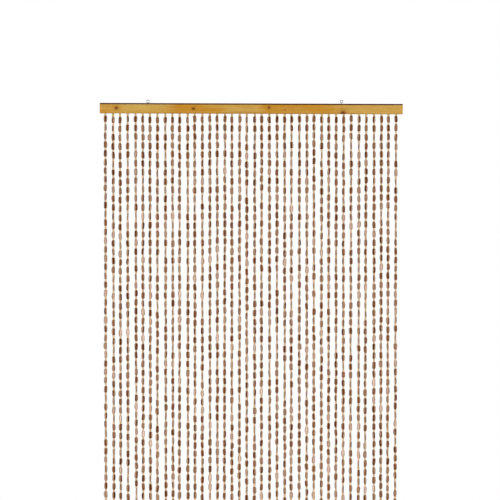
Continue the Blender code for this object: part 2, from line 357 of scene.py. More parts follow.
def batten_of(node):
    """Place and sizes of a batten that hangs a little askew."""
    points = node_points(node)
    left = points[points[:, 0] < points[:, 0].min() + BATTEN_END]
    right = points[points[:, 0] > points[:, 0].max() - BATTEN_END]
    rise = left[:, 2].mean() - right[:, 2].mean()
    tilt = math.atan2(rise, right[:, 0].mean() - left[:, 0].mean())
    turn = Matrix.Rotation(tilt, 3, "Y")
    level = points @ np.array(turn)
    low, high = Vector(level.min(0)), Vector(level.max(0))
    middle = turn @ ((low + high) / 2)
    size = high - low
    return Batten(Matrix.Translation(middle) @ turn.to_4x4(), size.x, size.y, size.z)


def strands_of(node, first_number):
    """Centre line of each strand in a node, read from the corners below the rail."""
    points = node_points(node)
    rail_middle = sum(corner.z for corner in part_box("rail")) / 2
    points = points[points[:, 2] < rail_middle]
    points = points[np.argsort(points[:, 0])]
    partings = np.nonzero(np.diff(points[:, 0]) > STRAND_PARTING)[0] + 1
    strands = []
    for offset, corners in enumerate(np.split(points, partings)):
        corners = corners[np.argsort(-corners[:, 2])]
        steps = np.nonzero(np.diff(corners[:, 2]) < -LEVEL_PARTING)[0] + 1
        levels = np.split(corners, steps)
        if len(levels) != LEVELS_ON_STRAND:
            raise RuntimeError(f"strand {offset} of {node} has {len(levels)} levels")
        middles = np.array([(level.min(0) + level.max(0)) / 2 for level in levels])
        strands.append(Strand(first_number + offset, middles[:, 2], middles[:, 0], middles[:, 1]))
    return strands


def all_strands():
    groups = {}
    count = 0
    for node in STRAND_NODES:
        groups[node] = strands_of(node, count)
        count += len(groups[node])
    return groups


def strand_pieces(kind, most=None):
    """Name, strands and node of each piece of one kind, with no more than most strands in it."""
    for node, strands in all_strands().items():
        step = most or len(strands)
        for part, first in enumerate(range(0, len(strands), step)):
            letter = f"_{'abcdef'[part]}" if len(strands) > step else ""
            name = node.replace("strands", kind) + letter
            yield name, strands[first : first + step], node


def strand_point(strand, height):
    """Point on a strand's centre line. Heights run down the strand."""
    x = np.interp(-height, -strand.heights, strand.xs)
    y = np.interp(-height, -strand.heights, strand.ys)
    return x, y


def strand_draws(look, strand, purpose):
    return np.random.default_rng((look.bead.seed, strand.number, purpose))


def threaded_items(look, strand):
    """Beads and tube beads of one strand, as they follow each other down the thread."""
    draws = strand_draws(look, strand, ITEM_DRAWS)
    tube_top, foot = strand.heights[0], strand.heights[-2]
    bead_top = strand.heights[1] + strand.xs[1] * math.tan(look.bead.levelled)
    spread = look.bead.unevenness
    bead_shares = 1 + draws.normal(0, spread * BEAD_LENGTH_STRAY, BEADS_ON_STRAND)
    tube_shares = 1 + draws.normal(0, spread * TUBE_LENGTH_STRAY, BEADS_ON_STRAND - 1)
    bead_lengths = look.bead.length * bead_shares
    room = bead_top - foot - bead_lengths.sum()
    tube_lengths = room * tube_shares / tube_shares.sum()
    beads, tubes = [], [Item(strand, (tube_top + bead_top) / 2, tube_top - bead_top)]
    top = bead_top
    for number, length in enumerate(bead_lengths):
        beads.append(Item(strand, top - length / 2, length))
        top -= length
        if number < len(tube_lengths):
            tubes.append(Item(strand, top - tube_lengths[number] / 2, tube_lengths[number]))
            top -= tube_lengths[number]
    return beads, tubes


# Meshes


def add_object(name, data, place=None):
    obj = bpy.data.objects.new(name, data)
    if place is not None:
        obj.matrix_world = place
    bpy.context.scene.collection.objects.link(obj)
    return obj


def finish_piece(obj, material, node):
    """Gives a piece its material and seats it in place of its solid."""
    obj.data.materials.append(material)
    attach(obj, "root")
    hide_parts(node)


def smooth_but_edges(mesh, degrees=38.0):
    mesh.shade_smooth()
    mesh.set_sharp_from_angle(angle=math.radians(degrees))


def block(length, depth, height, lift=0.0):
    bm = bmesh.new()
    place = Matrix.Translation((0.0, 0.0, lift)) @ Matrix.Diagonal((length, depth, height, 1.0))
    bmesh.ops.create_cube(bm, size=1.0, matrix=place)
    return bm


def batten_mesh(batten, edge_round):
    bm = block(batten.length, batten.depth, batten.height)
    bmesh.ops.bevel(
        bm, geom=bm.edges[:], offset=edge_round, segments=3, profile=0.5, affect="EDGES"
    )
    return bm


def add_drill(bm, x, top, bottom, diameter):
    bmesh.ops.create_cone(
        bm,
        cap_ends=True,
        segments=16,
        radius1=diameter / 2,
        radius2=diameter / 2,
        depth=top - bottom,
        matrix=Matrix.Translation((x, 0.0, (top + bottom) / 2)),
    )


def to_object(name, bm, place=None):
    mesh = bpy.data.meshes.new(name)
    bm.to_mesh(mesh)
    bm.free()
    return add_object(name, mesh, place)


def carve(obj, guides):
    """Cuts each guide out of a piece, evens its shading and keeps the result as its mesh."""
    for guide in guides:
        modifier = obj.modifiers.new(guide.name, "BOOLEAN")
        modifier.solver = "EXACT"
        modifier.operation = "DIFFERENCE"
        modifier.object = guide
    obj.modifiers.new("even shading", "WEIGHTED_NORMAL").keep_sharp = True
    smooth_but_edges(obj.data)
    bpy.context.view_layer.update()
    seen = obj.evaluated_get(bpy.context.evaluated_depsgraph_get())
    carved = bpy.data.meshes.new_from_object(seen)
    obj.modifiers.clear()
    obj.data = carved
    for guide in guides:
        bpy.data.objects.remove(guide, do_unlink=True)


def sweep(path, radii):
    """Rings of points round a path. radii holds one radius for each point of each ring."""
    tangents = np.gradient(path, axis=0)
    tangents /= np.linalg.norm(tangents, axis=1)[:, None]
    sides = radii.shape[1]
    angles = np.arange(sides) * 2 * math.pi / sides
    normal = np.array((1.0, 0.0, 0.0))
    rings = []
    for point, tangent, radius in zip(path, tangents, radii):
        normal = normal - tangent * normal.dot(tangent)
        normal /= np.linalg.norm(normal)
        side = np.cross(tangent, normal)
        ring = np.outer(np.cos(angles), normal) + np.outer(np.sin(angles), side)
        rings.append(point + ring * radius[:, None])
    return rings


def skinned_object(name, sweeps, degrees, place=None):
    """Piece of closed tubes, one through the rings of each sweep."""
    bm = bmesh.new()
    for rings in sweeps:
        loops = [[bm.verts.new(point) for point in ring] for ring in rings]
        for near, far in zip(loops, loops[1:]):
            for side in range(len(near)):
                following = (side + 1) % len(near)
                bm.faces.new((near[side], near[following], far[following], far[side]))
        bm.faces.new(reversed(loops[0]))
        bm.faces.new(loops[-1])
    bmesh.ops.recalc_face_normals(bm, faces=bm.faces)
    obj = to_object(name, bm, place)
    smooth_but_edges(obj.data, degrees)
    return obj


def bead_outline(look):
    """Flat oval section, a little fuller in front than behind, as half sizes."""
    angles = (np.arange(BEAD_SIDES) + 0.5) * 2 * math.pi / BEAD_SIDES
    across, through = np.cos(angles), np.sin(angles)
    across = np.sign(across) * np.abs(across) ** OVAL_POWER
    through = np.sign(through) * np.abs(through) ** OVAL_POWER
    through = np.where(through > 0, through * BACK_SWELL, through * FRONT_SWELL)
    return across * look.bead.width / 2, through * look.bead.thickness / 2, angles


def tube_outline(look):
    angles = np.arange(TUBE_SIDES) * 2 * math.pi / TUBE_SIDES
    radius = look.tube.diameter / 2
    return np.cos(angles) * radius, np.sin(angles) * radius, angles


def threaded_points(items, outline, rings, bore, draws, unevenness, turns, lopsided=0.0):
    """Points of every bead in a piece: its own shape first, then its place on the strand."""
    across, through, angles = outline
    count, sides = len(items), len(angles)
    lengths = np.array([item.length for item in items])[:, None, None]
    heights, girths = np.array(rings).T
    shares = np.concatenate(([BORE_MOUTH], heights, [-BORE_MOUTH]))
    own = np.empty((count, len(shares), sides, 3))
    wide = 1 + draws.normal(0, unevenness, (count, 1, 1))
    thick = 1 + draws.normal(0, unevenness * THICKNESS_STRAY, (count, 1, 1))
    taper = draws.normal(0, unevenness * TAPER_STRAY, (count, 1, 1))
    bulge = 1 + draws.normal(0, unevenness * BULGE_STRAY, (count, 1, sides))
    body = girths[None, :, None] * bulge * (1 + taper * heights[None, :, None])
    own[:, 1:-1, :, 0] = across * body * wide
    own[:, 1:-1, :, 1] = through * body * thick
    for end in (0, -1):
        own[:, end, :, 0] = np.cos(angles) * bore / 2
        own[:, end, :, 1] = np.sin(angles) * bore / 2
    own[:, :, :, 2] = shares[None, :, None] * lengths
    belly = np.clip(draws.normal(0, lopsided, (count, 1, 1)), -2 * lopsided, 2 * lopsided)
    own[:, 1:-1, :, 0] += belly * (1 - 4 * heights[None, :, None] ** 2)
    cos_turn, sin_turn = np.cos(turns)[:, None, None], np.sin(turns)[:, None, None]
    hung = own.copy()
    hung[..., 0] = own[..., 0] * cos_turn - own[..., 1] * sin_turn
    hung[..., 1] = own[..., 0] * sin_turn + own[..., 1] * cos_turn
    for way in (0, 1):
        hung[..., way] += own[..., 2] * draws.normal(0, unevenness * LEAN_STRAY, (count, 1, 1))
    middles = np.array([(*strand_point(item.strand, item.middle), item.middle) for item in items])
    hung += middles[:, None, None, :]
    return own, hung


def ring_faces(count, rings, sides):
    """Four-sided faces that join each bead's rings into a loop through its bore."""
    ring, side = np.meshgrid(np.arange(rings), np.arange(sides), indexing="ij")
    next_ring, next_side = (ring + 1) % rings, (side + 1) % sides
    corners = ((ring, side), (next_ring, side), (next_ring, next_side), (ring, next_side))
    faces = np.stack([row * sides + column for row, column in corners], axis=-1).reshape(-1, 4)
    return (faces[None] + (np.arange(count) * rings * sides)[:, None, None]).reshape(-1, 4)


def bake_places(count, rings, sides, run):
    """Each bead unrolled into a cell of its own. run is how far each ring is down the roll."""
    columns = math.ceil(math.sqrt(count * CELL_PROPORTION))
    rows = math.ceil(count / columns)
    ring, side = np.meshgrid(np.arange(rings), np.arange(sides), indexing="ij")
    near, far = run[ring], run[ring + 1]
    left, right = side / sides, (side + 1) / sides
    across = np.stack((left, left, right, right), axis=-1).reshape(-1)
    down = np.stack((near, far, far, near), axis=-1).reshape(-1)
    cells = np.arange(count)
    span = 1 - 2 * CELL_MARGIN
    x = ((cells % columns)[:, None] + CELL_MARGIN + span * across[None]) / columns
    y = ((cells // columns)[:, None] + CELL_MARGIN + span * down[None]) / rows
    return np.stack((x, y), axis=-1).reshape(-1, 2)


def ring_run(rings):
    """How far each ring is down the unrolled bead, from 0 to 1, with the bore drawn short."""
    mouths = (BORE_MOUTH, MOUTH_GIRTH), (-BORE_MOUTH, MOUTH_GIRTH)
    heights, girths = np.array((mouths[0], *rings, mouths[1])).T
    steps = np.hypot(np.diff(heights), np.diff(girths) * GIRTH_WEIGHT)
    run = np.concatenate(([0.0], np.cumsum(steps)))
    run *= (1 - BORE_RUN) / run[-1]
    return np.append(run, 1.0)


def threaded_object(name, shape, rings, tones):
    """One piece of many beads, with what its material needs to know of each."""
    own, hung = shape
    count, ring_count, sides, _ = hung.shape
    faces = ring_faces(count, ring_count, sides)
    mesh = bpy.data.meshes.new(name)
    mesh.vertices.add(count * ring_count * sides)
    mesh.vertices.foreach_set("co", hung.astype(np.float32).ravel())
    mesh.loops.add(faces.size)
    mesh.loops.foreach_set("vertex_index", faces.astype(np.int32).ravel())
    mesh.polygons.add(len(faces))
    mesh.polygons.foreach_set("loop_start", np.arange(0, faces.size, 4, dtype=np.int32))
    mesh.update(calc_edges=True)
    places = bake_places(count, ring_count, sides, ring_run(rings))
    mesh.uv_layers.new(name="OFBake").data.foreach_set("uv", places.astype(np.float32).ravel())
    place = mesh.attributes.new("bead_place", "FLOAT_VECTOR", "POINT")
    place.data.foreach_set("vector", own.astype(np.float32).ravel())
    tone = mesh.attributes.new("bead_tone", "FLOAT", "POINT")
    tone.data.foreach_set("value", np.repeat(tones, ring_count * sides).astype(np.float32))
    return add_object(name, mesh)


# Building blocks of the materials

# Kind of a group's input, by the type of the value that it starts with
SOCKET_KINDS = {float: "NodeSocketFloat", tuple: "NodeSocketColor", Vector: "NodeSocketVector"}


def feed(tree, socket, value):
    """Links a socket to another one, or sets its own value."""
    if isinstance(value, bpy.types.NodeSocket):
        tree.links.new(value, socket)
    elif socket.type == "RGBA":
        socket.default_value = (*value, 1.0)
    else:
        socket.default_value = value


def feed_named(tree, sockets, **values):
    """Feeds sockets by their names, with _ for each space."""
    for name, value in values.items():
        feed(tree, sockets[name.replace("_", " ")], value)


def add_node(tree, kind, inputs=(), **settings):
    """New node. A dictionary feeds its inputs by key, anything else in their order."""
    node = tree.nodes.new(kind)
    for name, value in settings.items():
        setattr(node, name, value)
    pairs = inputs.items() if isinstance(inputs, dict) else enumerate(inputs)
    for key, value in pairs:
        feed(tree, node.inputs[key], value)
    return node


def reckon(tree, operation, *values, clamp=False):
    return add_node(tree, "ShaderNodeMath", values, operation=operation, use_clamp=clamp).outputs[0]


def times(tree, first, second):
    return reckon(tree, "MULTIPLY", first, second)


def plus(tree, first, second):
    return reckon(tree, "ADD", first, second)


def reckon_vector(tree, operation, *values):
    node = add_node(tree, "ShaderNodeVectorMath", values, operation=operation)
    return node.outputs["Value" if operation in ("LENGTH", "DOT_PRODUCT") else "Vector"]


def rescale(tree, value, low, high, new_low=0.0, new_high=1.0, smooth=True):
    kind = "SMOOTHSTEP" if smooth else "LINEAR"
    values = (value, low, high, new_low, new_high)
    return add_node(tree, "ShaderNodeMapRange", values, interpolation_type=kind).outputs[0]


def blend(tree, share, first, second, kind="MIX"):
    inputs = {0: share, 6: first, 7: second}
    return add_node(tree, "ShaderNodeMix", inputs, data_type="RGBA", blend_type=kind).outputs[2]


def tinted(tree, colour, tint):
    return blend(tree, 1.0, colour, tint, "MULTIPLY")


def cloud(tree, place, scale, detail=2.0, roughness=0.5, shift=0.0):
    inputs = {"Vector": place, "W": shift, "Scale": scale, "Detail": detail, "Roughness": roughness}
    return add_node(tree, "ShaderNodeTexNoise", inputs, noise_dimensions="4D").outputs[0]


def ramp(tree, share, stops, interpolation="LINEAR"):
    """Colour ramp. A stop is a share with a colour or a strength."""
    node = add_node(tree, "ShaderNodeValToRGB", (share,))
    node.color_ramp.interpolation = interpolation
    elements = node.color_ramp.elements
    while len(elements) < len(stops):
        elements.new(1.0)
    for element, (position, colour) in zip(elements, stops):
        element.position = position
        values = (colour,) * 3 if isinstance(colour, float) else colour
        element.color = (*values, 1.0)
    return node.outputs[0]


def own_place(tree):
    return add_node(tree, "ShaderNodeTexCoord").outputs["Object"]


def bead_marks(tree):
    """Place within its own bead, and the bead's tone, which the mesh holds for every point."""
    place = add_node(tree, "ShaderNodeAttribute", attribute_name="bead_place")
    tone = add_node(tree, "ShaderNodeAttribute", attribute_name="bead_tone")
    return place.outputs["Vector"], tone.outputs["Fac"]


def parts_of(tree, place):
    return add_node(tree, "ShaderNodeSeparateXYZ", (place,)).outputs[:]


def new_group(name, fill, inputs):
    """Shader node group with the given inputs. fill wires it up and names what comes out."""
    group = bpy.data.node_groups.new(name, "ShaderNodeTree")
    for label, value in inputs.items():
        kind = SOCKET_KINDS[type(value)]
        group.interface.new_socket(label, in_out="INPUT", socket_type=kind).default_value = value
    results = fill(group, group.nodes.new("NodeGroupInput").outputs)
    for label, result in results.items():
        kind = "NodeSocketColor" if result.type == "RGBA" else "NodeSocketFloat"
        group.interface.new_socket(label, in_out="OUTPUT", socket_type=kind)
    add_node(group, "NodeGroupOutput", results)
    return group


def place_group(tree, name, **inputs):
    """Places one of the groups, which is made when it is first asked for."""
    group = bpy.data.node_groups.get(name) or new_group(name, *GROUPS[name])
    node = add_node(tree, "ShaderNodeGroup", node_tree=group)
    feed_named(tree, node.inputs, **inputs)
    return node.outputs


def fibre_grain(tree, given):
    """Fine fibres that run along Z, with a colour, a mask and a height."""
    across = reckon(tree, "DIVIDE", 1.0, given["Width"])
    along = reckon(tree, "DIVIDE", 1.0, given["Length"])
    scale = add_node(tree, "ShaderNodeCombineXYZ", (across, across, along)).outputs[0]
    stretched = reckon_vector(tree, "MULTIPLY", given["Place"], scale)
    shift = times(tree, given["Variation"], 57.0)
    coarse = times(tree, cloud(tree, stretched, 0.35, 2.0, 0.5, shift), 0.55)
    fine = times(tree, cloud(tree, stretched, 1.0, 2.0, 0.6, shift), 0.45)
    mask = rescale(tree, plus(tree, coarse, fine), 0.36, 0.64)
    share = reckon(tree, "MULTIPLY", mask, given["Contrast"], clamp=True)
    colour = blend(tree, share, given["Light"], given["Dark"])
    return {"Colour": colour, "Fibre": mask, "Height": reckon(tree, "SUBTRACT", 1.0, mask)}


def uneven_gloss(tree, given):
    """Roughness from smooth to dull in soft patches."""
    scale = reckon(tree, "DIVIDE", 1.0, given["Patch Size"])
    shift = times(tree, given["Variation"], 31.0)
    patch = rescale(tree, cloud(tree, given["Place"], scale, 3.0, 0.6, shift), 0.32, 0.68)
    dull = rescale(tree, patch, 0.0, 1.0, given["Smoothest"], given["Dullest"], smooth=False)
    return {"Roughness": dull, "Patch": patch}


def worn_and_highlit_edge_mask(tree, given):
    """Mask of the edges, broken up by noise: worn edges on the rail and a painted highlight on the
    strip's edges.
    """
    rounded = add_node(tree, "ShaderNodeBevel", {"Radius": given["Reach"]}, samples=6).outputs[0]
    plain = add_node(tree, "ShaderNodeNewGeometry").outputs["Normal"]
    agree = reckon_vector(tree, "DOT_PRODUCT", rounded, plain)
    edge = rescale(tree, reckon(tree, "SUBTRACT", 1.0, agree), 0.01, 0.16)
    scale = reckon(tree, "DIVIDE", 1.0, given["Patch Size"])
    broken = rescale(tree, cloud(tree, given["Place"], scale, 4.0, 0.65), 0.38, 0.66)
    return {"Wear and highlight": times(tree, edge, broken)}


def soft_spot(tree, given):
    """Soft oval spot in the wood, for knots, streaks and the painted shade along the rail's bottom
    edge.
    """
    offset = reckon_vector(tree, "SUBTRACT", given["Place"], given["Centre"])
    shares = reckon_vector(tree, "DIVIDE", offset, given["Half Size"])
    distance = reckon_vector(tree, "LENGTH", shares)
    heart = times(tree, rescale(tree, distance, 1.25, 0.45), given["Strength"])
    halo = times(tree, rescale(tree, distance, 3.0, 0.6), given["Strength"])
    return {"Heart": heart, "Halo": halo}


# Shader node groups: what fills each one, and its inputs
GROUPS = {
    "Fibre grain": (
        fibre_grain,
        {
            "Place": Vector(), "Variation": 0.0, "Width": 0.0004, "Length": 0.012, "Contrast": 0.5,
            "Light": (0.5, 0.3, 0.1, 1.0), "Dark": (0.2, 0.1, 0.03, 1.0),
        },
    ),
    "Uneven gloss": (
        uneven_gloss,
        {"Place": Vector(), "Variation": 0.0, "Patch Size": 0.02,
         "Smoothest": 0.25, "Dullest": 0.45},
    ),
    "Worn and highlit edges": (worn_and_highlit_edge_mask, {"Place": Vector(), "Reach": 0.001, "Patch Size": 0.006}),
    "Soft spot": (
        soft_spot,
        {"Place": Vector(), "Centre": Vector(), "Half Size": Vector((1.0, 1.0, 1.0)),
         "Strength": 1.0},
    ),
}


def new_material(name, colour):
    material = bpy.data.materials.new(name)
    material.use_nodes = True
    material.diffuse_color = (*colour, 1.0)
    tree = material.node_tree
    return material, tree, tree.nodes["Principled BSDF"].inputs


def grain_of(tree, finish, place, light, dark, tone=0.0):
    return place_group(
        tree, "Fibre grain", Place=place, Variation=tone, Light=light, Dark=dark,
        Width=finish.width, Length=finish.length, Contrast=finish.contrast,
    )


def gloss_of(tree, finish, place, tone=0.0):
    sizes = {"Patch_Size": finish.patch, "Smoothest": finish.smoothest, "Dullest": finish.dullest}
    return place_group(tree, "Uneven gloss", Place=place, Variation=tone, **sizes)


def finish_shader(tree, shader, finish, colour, gloss, height, **values):
    """Feeds the shader its colour, its gloss, the relief of its grain and any other values."""
    relief = {"Height": height, "Distance": finish.relief, "Strength": 1.0}
    normal = add_node(tree, "ShaderNodeBump", relief).outputs[0]
    roughness = gloss["Roughness"]
    feed_named(tree, shader, Base_Color=colour, Roughness=roughness, Normal=normal, **values)


# Materials


def spots_on_rail(tree, place, marks, batten, strip):
    """A soft spot for each mark. Marks are given from the strip's top and the rail's left end."""
    strip_top = strip.place.translation.z - batten.place.translation.z + strip.height / 2
    spots = []
    for mark in marks:
        centre = (mark.along - batten.length / 2, -batten.depth / 2, strip_top - mark.below)
        half = (mark.half_length, batten.depth, mark.half_height)
        spot = {"Centre": centre, "Half_Size": half, "Strength": mark.depth}
        spots.append(place_group(tree, "Soft spot", Place=place, **spot))
    return spots


def strongest(tree, spots, output):
    mask = spots[0][output]
    for spot in spots[1:]:
        mask = reckon(tree, "MAXIMUM", mask, spot[output])
    return mask


def along_rail(tree, x, y, z):
    """Place with the rail's length as its Z, along which fibres run."""
    return add_node(tree, "ShaderNodeCombineXYZ", (y, z, x)).outputs[0]


def worn_and_highlit_edges(tree, place, reach, share, colour, edge_and_top_colour):
    """Colour that gives way to another on the edges: worn edges on the rail, a painted highlight on
    the strip's edges.
    """
    worn_and_lit = place_group(tree, "Worn and highlit edges", Place=place, Reach=reach)["Wear and highlight"]
    return blend(tree, times(tree, worn_and_lit, share), colour, edge_and_top_colour)


def pine_material(look, batten, strip):
    """Lacquered pine: growth rings that bend round the knots, amber and pale stretches, and painted
    shade along its bottom edge.
    """
    wood = look.rail
    material, tree, shader = new_material("lacquered pine", wood.amber_wood)
    place = own_place(tree)
    x, y, z = parts_of(tree, place)
    knots = spots_on_rail(tree, place, KNOTS, batten, strip)
    streaks_and_edge_shade = spots_on_rail(tree, place, STREAKS_AND_EDGE_SHADE, batten, strip)
    halo = strongest(tree, knots, "Halo")
    slow_place = reckon_vector(tree, "MULTIPLY", place, (3.2, 26.0, 26.0))
    wander = times(tree, cloud(tree, slow_place, 1.0, 2.0, 0.45), RING_WANDER)
    bent = plus(tree, wander, times(tree, halo, KNOT_SWERVE))
    up = plus(tree, plus(tree, z, PITH_BELOW), bent)
    back = reckon(tree, "SUBTRACT", y, PITH_BEHIND)
    radius = reckon(tree, "SQRT", plus(tree, times(tree, up, up), times(tree, back, back)))
    turn = reckon(tree, "FRACT", reckon(tree, "DIVIDE", radius, wood.ring_width))
    late = times(tree, rescale(tree, turn, 0.30, 0.97), rescale(tree, turn, 1.0, 0.965))
    run = rescale(tree, x, -batten.length / 2, batten.length / 2, smooth=False)
    patch_place = reckon_vector(tree, "MULTIPLY", place, (10.0, 60.0, 95.0))
    patch = rescale(tree, cloud(tree, patch_place, 1.0, 3.0, 0.55), 0.3, 0.7, -0.30, 0.30)
    amber = reckon(tree, "ADD", ramp(tree, run, AMBER_ZONES, "EASE"), patch, clamp=True)
    ground = blend(tree, amber, wood.pale_wood, wood.amber_wood)
    ringed = blend(tree, times(tree, late, 0.34), ground, wood.late_wood)
    darker = tinted(tree, ringed, (0.80, 0.74, 0.66))
    grain = grain_of(tree, PINE, along_rail(tree, x, y, z), ringed, darker)
    rimmed = blend(tree, times(tree, halo, 0.55), grain["Colour"], wood.knot_rim)
    # The streaks include the painted shade along the rail's bottom edge
    streaked_and_edge_shaded = blend(tree, strongest(tree, streaks_and_edge_shade, "Heart"), rimmed, wood.knot_rim)
    knotted = blend(tree, strongest(tree, knots, "Heart"), streaked_and_edge_shaded, wood.knot_heart)
    colour = worn_and_highlit_edges(tree, place, 0.0012, 0.35, knotted, (0.74, 0.50, 0.24))
    height = reckon(tree, "SUBTRACT", grain["Height"], times(tree, late, 0.5))
    lacquer = {"Specular_IOR_Level": 0.12, "Coat_Weight": 0.08, "Coat_Roughness": 0.22}
    finish_shader(tree, shader, PINE, colour, gloss_of(tree, PINE, place), height, **lacquer)
    return material


def strip_material(look, strip):
    """Dark stained strip, browner towards its right end, with a painted highlight on its edges."""
    wood = look.rail
    material, tree, shader = new_material("dark stained strip", wood.strip_dark)
    place = own_place(tree)
    x, y, z = parts_of(tree, place)
    run = rescale(tree, x, -strip.length / 2, strip.length / 2, smooth=False)
    thin = ramp(tree, run, ((0.0, 0.10), (0.25, 0.25), (0.5, 0.45), (0.7, 0.75), (1.0, 0.95)))
    stain = blend(tree, thin, wood.strip_dark, wood.strip_brown)
    darker = tinted(tree, stain, (0.55, 0.48, 0.50))
    grain = grain_of(tree, STAINED, along_rail(tree, x, y, z), stain, darker)
    # Painted highlight: the strip's edges are lightened to stand in for the light they catch
    colour = worn_and_highlit_edges(tree, place, 0.0007, 0.25, grain["Colour"], (0.30, 0.155, 0.070))
    gloss = gloss_of(tree, STAINED, place)
    finish_shader(tree, shader, STAINED, colour, gloss, grain["Height"], Specular_IOR_Level=0.06)
    return material


def steel_material(look, name, top_shade):
    """Plated wire, dulled in patches, with painted shade darkening the ring's top, where it hangs.
    """
    steel = look.eye
    material, tree, shader = new_material(name, steel.steel)
    place = own_place(tree)
    height = parts_of(tree, place)[2]
    gloss = gloss_of(tree, STEEL, place)
    grain = grain_of(tree, STEEL, place, steel.steel, steel.tarnish)
    tarnish = rescale(tree, gloss["Patch"], 0.55, 1.0, 0.0, 0.75)
    dulled = blend(tree, tarnish, grain["Colour"], steel.tarnish)
    # Painted shade: the ring's top darkens towards the colour of the painted shade
    painted_top_shade = rescale(tree, height, steel.ring * 0.16, steel.ring * 0.30, 0.0, top_shade)
    colour = blend(tree, painted_top_shade, dulled, steel.edge_and_top_colour)
    finish_shader(tree, shader, STEEL, colour, gloss, grain["Height"], Metallic=0.95)
    return material


def bead_material(look):
    """Stained and polished bamboo. Each bead has its own tone, skin side and pith side, with
    painted shade darkening its sides and a painted reflection in its palest tone.
    """
    bead = look.bead
    material, tree, shader = new_material("polished brown bamboo", bead.red)
    place, tone = bead_marks(tree)
    x, y, z = parts_of(tree, place)
    off_middle = reckon(tree, "ABSOLUTE", x)
    # Painted shade: each bead's tone is darkened towards its sides, away from the middle
    side_shade = rescale(tree, off_middle, bead.width * 0.22, bead.width * 0.38)
    shaded_tone = reckon(tree, "SUBTRACT", tone, times(tree, side_shade, 0.16), clamp=True)
    # The top stop is painted reflection: the palest beads stand in for the softboxes' glare
    stops = ((0.00, bead.dark), (0.50, bead.red), (0.84, bead.rosy), (1.00, bead.pale))
    wobble = times(tree, cloud(tree, place, 160.0, 2.0, 0.5, times(tree, tone, 40.0)), 0.0030)
    pith = rescale(tree, plus(tree, y, wobble), 0.0014, 0.0030)
    pithy = blend(tree, times(tree, pith, 0.22), ramp(tree, shaded_tone, stops), bead.rosy)
    edge = rescale(tree, plus(tree, off_middle, wobble), bead.width * 0.40, bead.width * 0.465)
    sided = blend(tree, edge, pithy, bead.edge)
    grain = grain_of(tree, POLISHED, place, sided, tinted(tree, sided, (0.42, 0.34, 0.32)), tone)
    end = rescale(tree, reckon(tree, "ABSOLUTE", z), bead.length * 0.43, bead.length * 0.50)
    burnt = tinted(tree, grain["Colour"], (0.50, 0.42, 0.40))
    colour = blend(tree, times(tree, end, 0.7), grain["Colour"], burnt)
    coat = rescale(tree, grain["Fibre"], 0.0, 1.0, 0.20, 0.10)
    polish = {
        "Specular_IOR_Level": 0.04, "Coat_Weight": coat, "Coat_Roughness": 0.12, "Coat_IOR": 1.50,
    }
    gloss = gloss_of(tree, POLISHED, place, tone)
    finish_shader(tree, shader, POLISHED, colour, gloss, grain["Height"], **polish)
    return material


def tube_material(look):
    """Raw bamboo, cream to straw, with the first ones under the rail olive."""
    tube = look.tube
    material, tree, shader = new_material("raw pale bamboo", tube.cream)
    place, tone = bead_marks(tree)
    stops = ((0.0, tube.cream), (RAW_TONE_LIMIT, tube.straw), (0.78, tube.olive), (1.0, tube.olive))
    raw = ramp(tree, tone, stops)
    grain = grain_of(tree, RAW, place, raw, tinted(tree, raw, (0.72, 0.62, 0.48)), tone)
    coat = {"Coat_Weight": 0.15, "Coat_Roughness": 0.30}
    gloss = gloss_of(tree, RAW, place, tone)
    finish_shader(tree, shader, RAW, grain["Colour"], gloss, grain["Height"], **coat)
    return material


def thread_material(look):
    """Twisted thread, darker between its plies."""
    thread = look.thread
    material, tree, shader = new_material("tan twisted thread", thread.tan)
    place = own_place(tree)
    grain = grain_of(tree, TWISTED, place, thread.tan, thread.brown)
    gloss = gloss_of(tree, TWISTED, place)
    finish_shader(tree, shader, TWISTED, grain["Colour"], gloss, grain["Height"], Sheen_Weight=0.25)
    return material


def floor_material(look):
    """Pale floor, duller and a little darker in patches."""
    floor = look.stage.floor
    material, tree, shader = new_material("pale floor", floor)
    patches = {"Patch_Size": 0.6, "Smoothest": 0.70, "Dullest": 0.82}
    gloss = place_group(tree, "Uneven gloss", Place=own_place(tree), **patches)
    tint = blend(tree, times(tree, gloss["Patch"], 0.15), floor, (0.74, 0.73, 0.71))
    feed_named(tree, shader, Base_Color=tint, Roughness=gloss["Roughness"])
    return material


# Pieces


def eye_x(node):
    low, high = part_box(node)
    return (low.x + high.x) / 2


def build_rail(look):
    """Rail with its groove, thread holes and eye holes."""
    batten, strip = batten_of("rail"), batten_of("cover_strip")
    rail = to_object("rail_batten", batten_mesh(batten, look.rail.edge_round), batten.place)
    top = batten.height / 2
    floor = top - GROOVE_DEPTH
    cut = GROOVE_DEPTH + CUTTER_OVERSHOOT
    groove = block(batten.length - 2 * GROOVE_END_MARGIN, GROOVE_WIDTH, cut, floor + cut / 2)
    drills = bmesh.new()
    to_rail = batten.place.inverted()
    for strand in chain(*all_strands().values()):
        x = (to_rail @ Vector((strand.xs[0], 0.0, batten.place.translation.z))).x
        add_drill(
            drills, x, floor + CUTTER_OVERSHOOT, -top - CUTTER_OVERSHOOT, look.rail.thread_hole
        )
    for node in EYE_NODES:
        add_drill(
            drills, eye_x(node), top + CUTTER_OVERSHOOT, top - EYE_HOLE_DEPTH, look.rail.eye_hole
        )
    guides = {"groove_guide": groove, "drill_guide": drills}
    carve(rail, [to_object(name, bm, batten.place) for name, bm in guides.items()])
    finish_piece(rail, pine_material(look, batten, strip), "rail")


def build_cover_strip(look):
    """Dark strip along the rail's top, with a hole for each screw eye."""
    strip = batten_of("cover_strip")
    edge_round = min(look.rail.edge_round, strip.height * STRIP_ROUND_LIMIT)
    band = to_object("cover_strip_band", batten_mesh(strip, edge_round), strip.place)
    drills = bmesh.new()
    reach = strip.height / 2 + CUTTER_OVERSHOOT
    for node in EYE_NODES:
        add_drill(drills, eye_x(node), reach, -reach, look.rail.eye_hole)
    carve(band, [to_object("strip_drill_guide", drills, strip.place)])
    finish_piece(band, strip_material(look, strip), "cover_strip")


